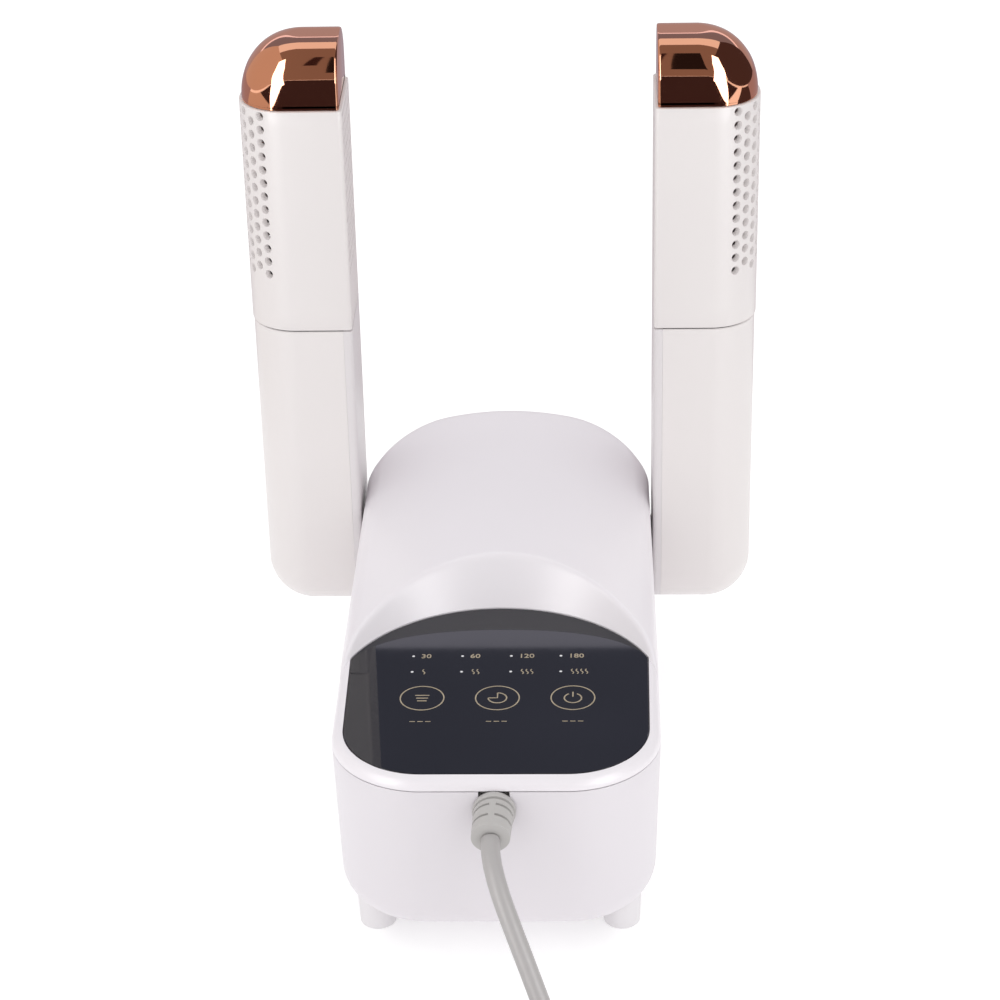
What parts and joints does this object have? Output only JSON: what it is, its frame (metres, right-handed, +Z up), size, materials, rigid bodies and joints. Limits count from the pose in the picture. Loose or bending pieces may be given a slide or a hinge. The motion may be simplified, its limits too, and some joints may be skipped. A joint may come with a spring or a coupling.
{
  "type": "boot dryer",
  "caption": "Upright boot and shoe dryer: a base with fan, heater and touch panel, and folding, telescoping air arms with perforated sleeves and copper caps.",
  "frame": {"origin": "on the surface the dryer stands on, in the middle of its footprint without the mains lead", "axes": "+Z up, -Y the dryer's front with the panel and the lead, +X to the right for someone who faces its front"},
  "size_m": [0.1856, 0.3894, 0.256],
  "materials": {
    "base_white": "fine moulded satin",
    "cover_white": "smooth satin",
    "arm_white": "fine moulded satin",
    "arm_cover_white": "fine moulded satin",
    "panel_black": "high gloss, printed behind",
    "cap_copper": "vacuum metallised copper mirror",
    "relief_grey": "moulded",
    "cord_grey": "smooth",
    "plug_grey": "moulded",
    "pin_brass": "plain",
    "foot_rubber": "matte",
    "grille_plastic": "moulded",
    "inner_plastic": "moulded nylon",
    "fan_plastic": "moulded",
    "motor_steel": "plain",
    "screw_steel": "zinc plated",
    "heater_mica": "mica board",
    "heater_aluminium": "plain fins",
    "board_green": "circuit board",
    "hub_acetal": "turned smooth",
    "tube_grey": "smooth"
  },
  "bodies": {
    "base": {"lower_shell": "base_white", "upper_shell": "cover_white", "control_panel": "panel_black", "inlet_grille": "grille_plastic", "front_left_foot": "foot_rubber", "front_right_foot": "foot_rubber", "rear_left_foot": "foot_rubber", "rear_right_foot": "foot_rubber", "case_screw_1": "screw_steel", "case_screw_2": "screw_steel", "case_screw_3": "screw_steel", "case_screw_4": "screw_steel", "touch_board": "board_green", "power_board": "board_green", "fan_frame": "fan_plastic", "fan_motor": "motor_steel", "fan_hood": "inner_plastic", "heater_frame": "heater_mica", "heater_element": "heater_aluminium", "thermal_cutout": "heater_aluminium", "air_manifold": "inner_plastic", "strain_relief": "relief_grey", "cord": "cord_grey", "cord_coil": "cord_grey", "cord_tail": "cord_grey", "plug": "plug_grey", "plug_pin_1": "pin_brass", "plug_pin_2": "pin_brass"},
    "fan": {"fan_impeller": "fan_plastic"},
    "left_arm": {"left_arm_shell": "arm_white", "left_arm_cover": "arm_cover_white", "left_hub": "hub_acetal", "left_hub_ring": "screw_steel"},
    "left_top": {"left_inner_tube": "tube_grey", "left_sleeve": "arm_white", "left_cap": "cap_copper"},
    "right_arm": {"right_arm_shell": "arm_white", "right_arm_cover": "arm_cover_white", "right_hub": "hub_acetal", "right_hub_ring": "screw_steel"},
    "right_top": {"right_inner_tube": "tube_grey", "right_sleeve": "arm_white", "right_cap": "cap_copper"}
  },
  "joints": [
    {"name": "fan_spin", "type": "hinge", "parent": "base", "child": "fan", "pos_m": [0, -0.016, 0.0215], "axis": [0, 0, 1], "continuous": true},
    {"name": "left_arm_fold", "type": "hinge", "parent": "base", "child": "left_arm", "pos_m": [-0.055, 0.083, 0.046], "axis": [1, 0, 0], "range_deg": [0, 90]},
    {"name": "right_arm_fold", "type": "hinge", "parent": "base", "child": "right_arm", "pos_m": [0.055, 0.083, 0.046], "axis": [1, 0, 0], "range_deg": [0, 90]},
    {"name": "left_sleeve_slide", "type": "slide", "parent": "left_arm", "child": "left_top", "axis": [0, 0, 1], "range_m": [0, 0.05]},
    {"name": "right_sleeve_slide", "type": "slide", "parent": "right_arm", "child": "right_top", "axis": [0, 0, 1], "range_m": [0, 0.05]}
  ]
}
